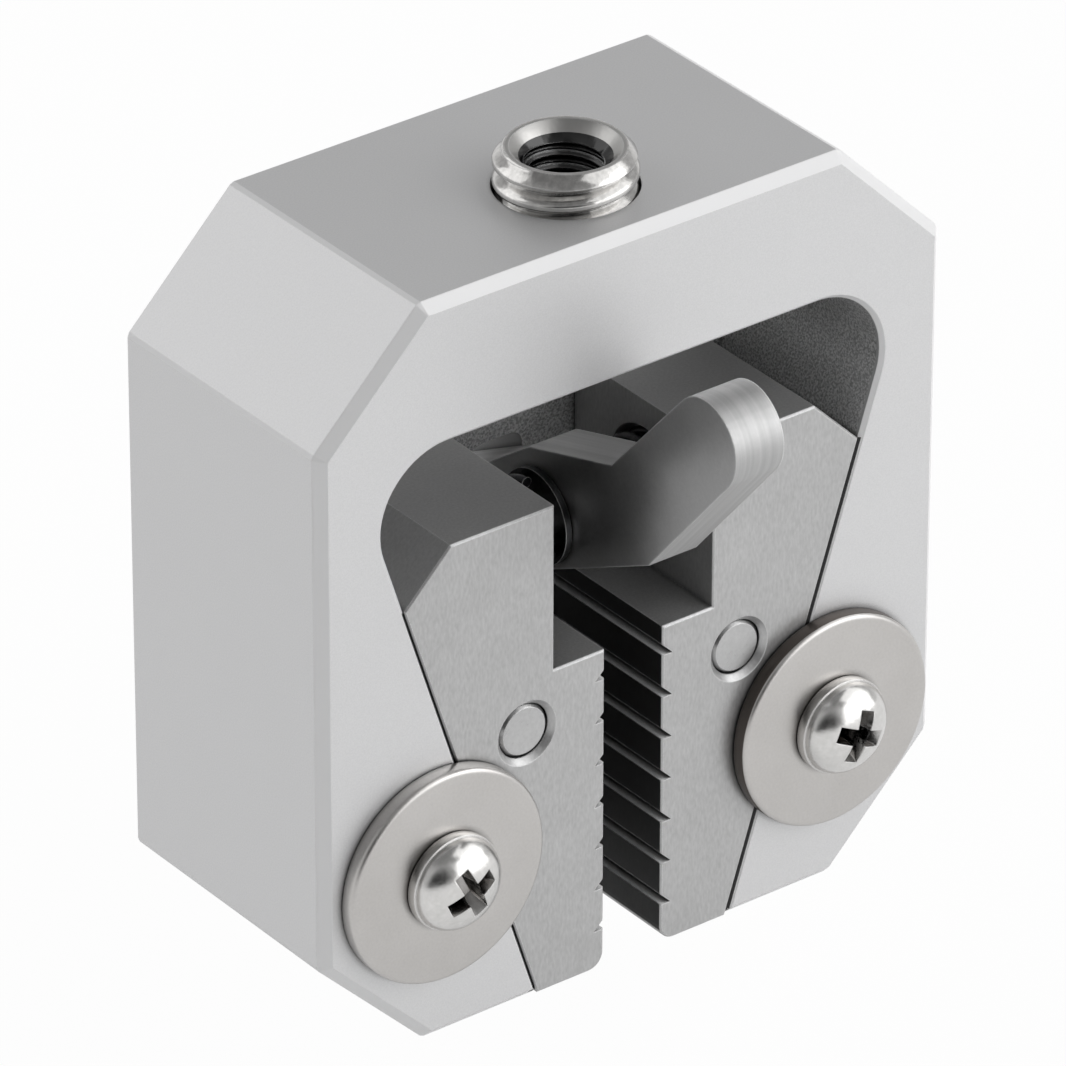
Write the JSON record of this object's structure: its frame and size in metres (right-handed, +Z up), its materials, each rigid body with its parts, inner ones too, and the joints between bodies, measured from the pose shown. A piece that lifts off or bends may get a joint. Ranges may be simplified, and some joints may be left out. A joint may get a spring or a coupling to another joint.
{
  "type": "tensile test grip",
  "caption": "Self-tightening wedge grip: block frame with tapered pocket, two toothed jaws on a cross pin, release lever, retaining washers and a threaded nipple.",
  "frame": {"origin": "where the pull axis, the axis of the threaded nipple, leaves the frame's flat top face", "axes": "+Z up along the pull axis away from the jaws, +X across the frame to the right jaw, +Y from the open front to the back wall"},
  "size_m": [0.052, 0.0352, 0.0595],
  "materials": {
    "frame_alloy": "bead-blasted, clear anodised",
    "plated_steel": "bright nickel plate",
    "jaw_steel": "ground, satin plated",
    "pin_steel": "ground",
    "spring_steel": "drawn wire",
    "washer_steel": "punched stainless, tumbled",
    "screw_steel": "polished stainless",
    "lever_steel": "satin, dark"
  },
  "bodies": {
    "frame_body": {"frame": "frame_alloy", "threaded_nipple": "plated_steel", "left_washer": "washer_steel", "right_washer": "washer_steel", "left_screw": "screw_steel", "right_screw": "screw_steel", "fulcrum_pin": "pin_steel"},
    "left_wedge": {"left_jaw": "jaw_steel", "left_jaw_pin": "pin_steel"},
    "right_wedge": {"right_jaw": "jaw_steel", "right_jaw_pin": "pin_steel"},
    "cross_pin": {"lever_pin": "pin_steel", "left_thrust_washer": "pin_steel", "right_thrust_washer": "pin_steel", "left_spring": "spring_steel", "right_spring": "spring_steel"},
    "lever": {"lever": "lever_steel"}
  },
  "joints": [
    {"name": "left_jaw_slide", "type": "slide", "parent": "frame_body", "child": "left_wedge", "axis": [-0.309, 0, 0.9511], "range_m": [-0.00736, 0.00158], "deforming": ["left_spring"]},
    {"name": "right_jaw_slide", "type": "slide", "parent": "frame_body", "child": "right_wedge", "axis": [0.309, 0, 0.9511], "range_m": [-0.00736, 0.00158], "deforming": ["right_spring"]},
    {"name": "pin_lift", "type": "slide", "parent": "frame_body", "child": "cross_pin", "axis": [0, 0, 1], "range_m": [-0.00701, 0.00151]},
    {"name": "lever_swing", "type": "hinge", "parent": "cross_pin", "child": "lever", "pos_m": [0, 0, -0.0245], "axis": [1, 0, 0], "range_deg": [-7.1, 32.94]}
  ],
  "couplings": [
    {"joint": "right_jaw_slide", "follows": "left_jaw_slide", "ratio": 1},
    {"joint": "pin_lift", "follows": "left_jaw_slide", "ratio": 0.95106},
    {"joint": "lever_swing", "follows": "left_jaw_slide", "rad_per_m": -78}
  ]
}
